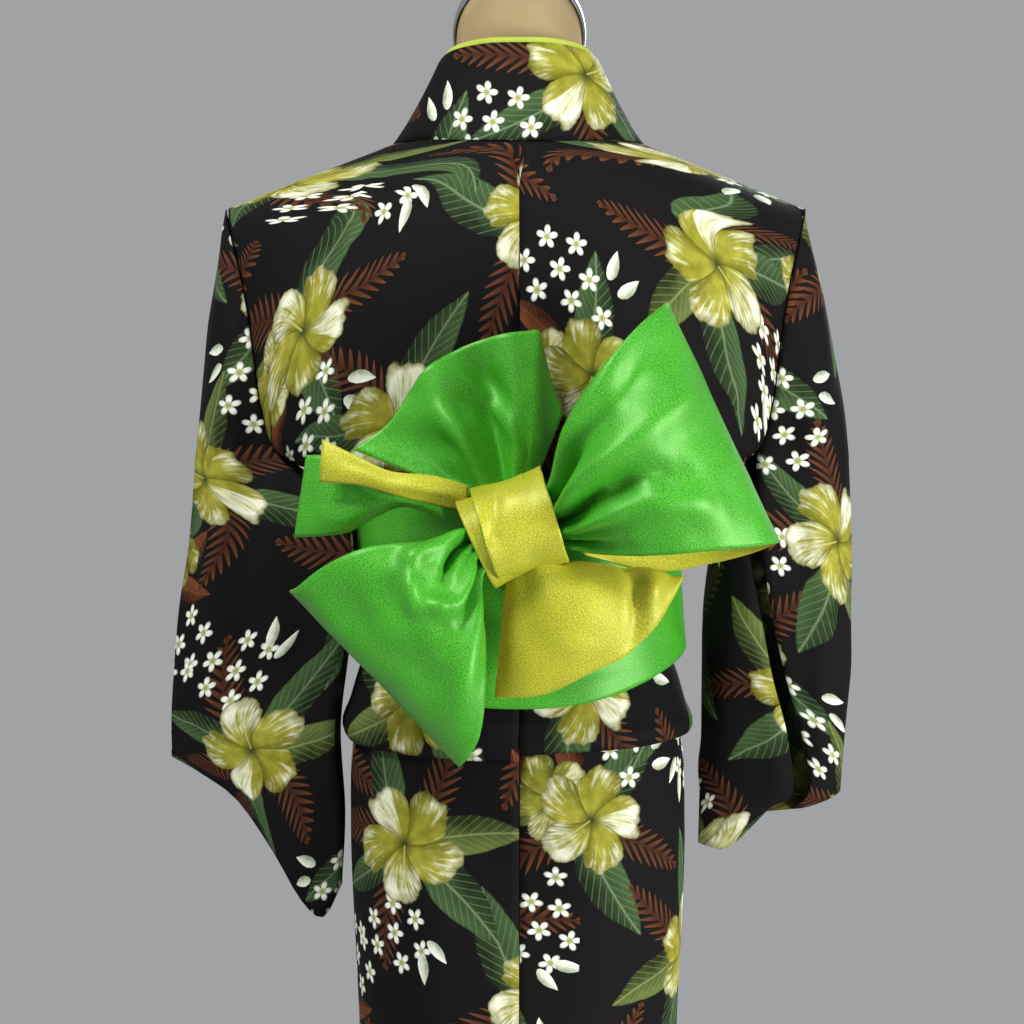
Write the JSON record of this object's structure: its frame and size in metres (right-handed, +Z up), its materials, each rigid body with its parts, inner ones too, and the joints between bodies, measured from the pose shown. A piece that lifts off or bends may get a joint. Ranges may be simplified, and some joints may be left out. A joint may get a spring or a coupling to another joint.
{
  "type": "cotton yukata robe with tied obi on a limbless dress form",
  "caption": "Thin wrapped cotton robe with hanging sleeves, tucked waist and a stiff sash tied in a lopsided bow, standing on a limbless form.",
  "frame": {"origin": "middle of the stand's flat underside, on the floor", "axes": "+Z up the form, -Y the way the robe's front faces, +X towards the wearer's left"},
  "size_m": [0.6221, 0.4609, 1.482],
  "materials": {
    "printed_cotton": "plain woven cotton, printed with large flowers and leaves",
    "lime_cotton": "plain woven cotton",
    "green_satin": "stiff satin, soft sheen",
    "yellow_satin": "stiff satin, soft sheen",
    "jersey": "knitted cover",
    "chrome": "polished",
    "painted_iron": "satin paint"
  },
  "bodies": {
    "root": {"body_left": "printed_cotton", "body_right": "printed_cotton", "okumi_left": "printed_cotton", "okumi_right": "printed_cotton", "sleeve_left": "printed_cotton", "sleeve_right": "printed_cotton", "collar": "printed_cotton", "collar_trim": "lime_cotton", "obi_band": "green_satin", "obi_knot": "yellow_satin", "obi_loop_upper": "green_satin", "obi_loop_lower": "green_satin", "obi_tail_fan": "green_satin", "obi_tail_flap": "green_satin", "obi_tail_strip": "yellow_satin", "obi_tail_lower": "yellow_satin", "form_torso": "jersey", "form_neck_cap": "chrome", "form_pole": "chrome", "form_base": "painted_iron"}
  },
  "joints": []
}
